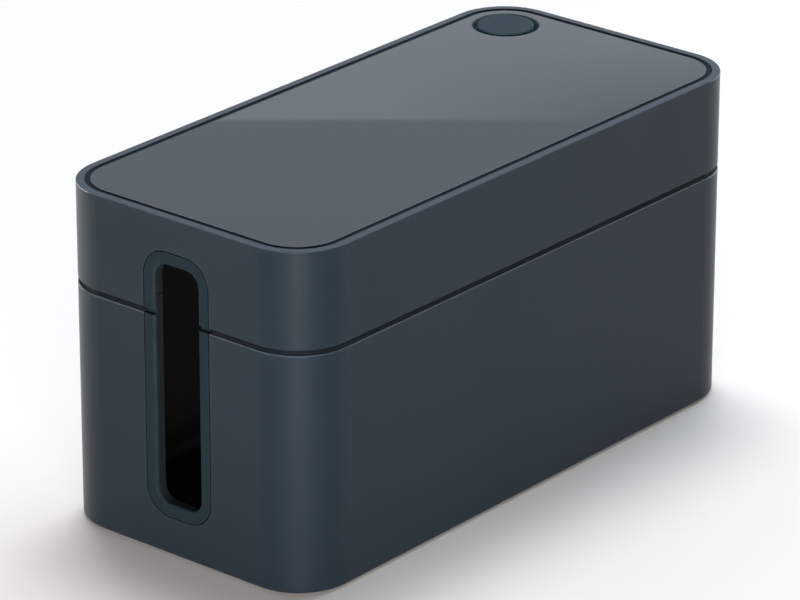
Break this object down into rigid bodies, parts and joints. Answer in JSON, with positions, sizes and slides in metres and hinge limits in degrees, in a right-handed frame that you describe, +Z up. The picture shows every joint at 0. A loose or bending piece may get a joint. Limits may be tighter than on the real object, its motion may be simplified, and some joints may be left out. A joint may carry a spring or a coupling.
{
  "type": "cable management box",
  "caption": "Lidded box with rounded corners that hides a power strip, with soft-lined cable slots in its ends and a plugged round port in the lid.",
  "frame": {"origin": "on the table at the centre of the footprint, under the feet", "axes": "+X along the length, towards the end that has the round port; +Z up; the long sides face -Y and +Y, and the port is on the +Y side"},
  "size_m": [0.246, 0.116, 0.1279],
  "materials": {
    "shell": "satin dark slate grey, fine moulded texture",
    "top_panel": "semi-gloss dark slate grey",
    "soft_trim": "matte soft elastomer, dark teal grey",
    "foot_rubber": "matte black"
  },
  "bodies": {
    "tub": {"base_tub": "shell", "lower_collar_left": "soft_trim", "lower_collar_right": "soft_trim", "foot_front_left": "foot_rubber", "foot_front_right": "foot_rubber", "foot_rear_left": "foot_rubber", "foot_rear_right": "foot_rubber"},
    "lid": {"lid_shell": "shell", "lid_top_panel": "top_panel", "upper_collar_left": "soft_trim", "upper_collar_right": "soft_trim"},
    "plug": {"port_plug": "soft_trim"}
  },
  "joints": [
    {"name": "lid_lift", "type": "slide", "parent": "tub", "child": "lid", "axis": [0, 0, 1], "range_m": [0, 0.06]},
    {"name": "plug_lift", "type": "slide", "parent": "lid", "child": "plug", "axis": [0, 0, 1], "range_m": [0, 0.025]}
  ]
}
